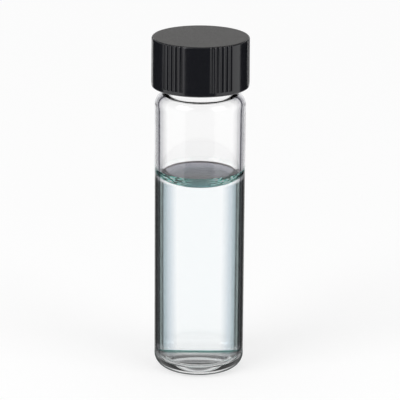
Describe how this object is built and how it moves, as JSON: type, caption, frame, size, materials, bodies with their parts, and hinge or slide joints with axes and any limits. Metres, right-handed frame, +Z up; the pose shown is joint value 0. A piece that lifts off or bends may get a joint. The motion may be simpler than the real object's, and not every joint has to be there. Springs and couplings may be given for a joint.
{
  "type": "glass sample vial",
  "caption": "Straight clear glass sample vial with a screw neck, a black ribbed screw cap with a soft liner, and a pale liquid that fills a little over half of it.",
  "frame": {"origin": "on the surface that the vial stands on, under the middle of its base", "axes": "+Z up along the vial's axis, from the base to the cap; X and Y across it"},
  "size_m": [0.0178, 0.0178, 0.0631],
  "materials": {
    "clear_glass": "clear, polished by the flame",
    "phenolic": "moulded gloss, satin on top",
    "liner_rubber": "matt",
    "pale_liquid": "clear liquid with a pale blue-green tint"
  },
  "bodies": {
    "vial": {"vial": "clear_glass", "liquid": "pale_liquid"},
    "liner": {"cap_liner": "liner_rubber"},
    "cap": {"cap": "phenolic"}
  },
  "joints": [
    {"name": "cap_lift", "type": "slide", "parent": "vial", "child": "liner", "axis": [0, 0, 1], "range_m": [0, 0.00636]},
    {"name": "cap_turn", "type": "hinge", "parent": "liner", "child": "cap", "pos_m": [0, 0, 0.0615], "axis": [0, 0, 1], "range_deg": [0, 1080]}
  ],
  "couplings": [
    {"joint": "cap_turn", "follows": "cap_lift", "rad_per_m": 2963.8}
  ]
}
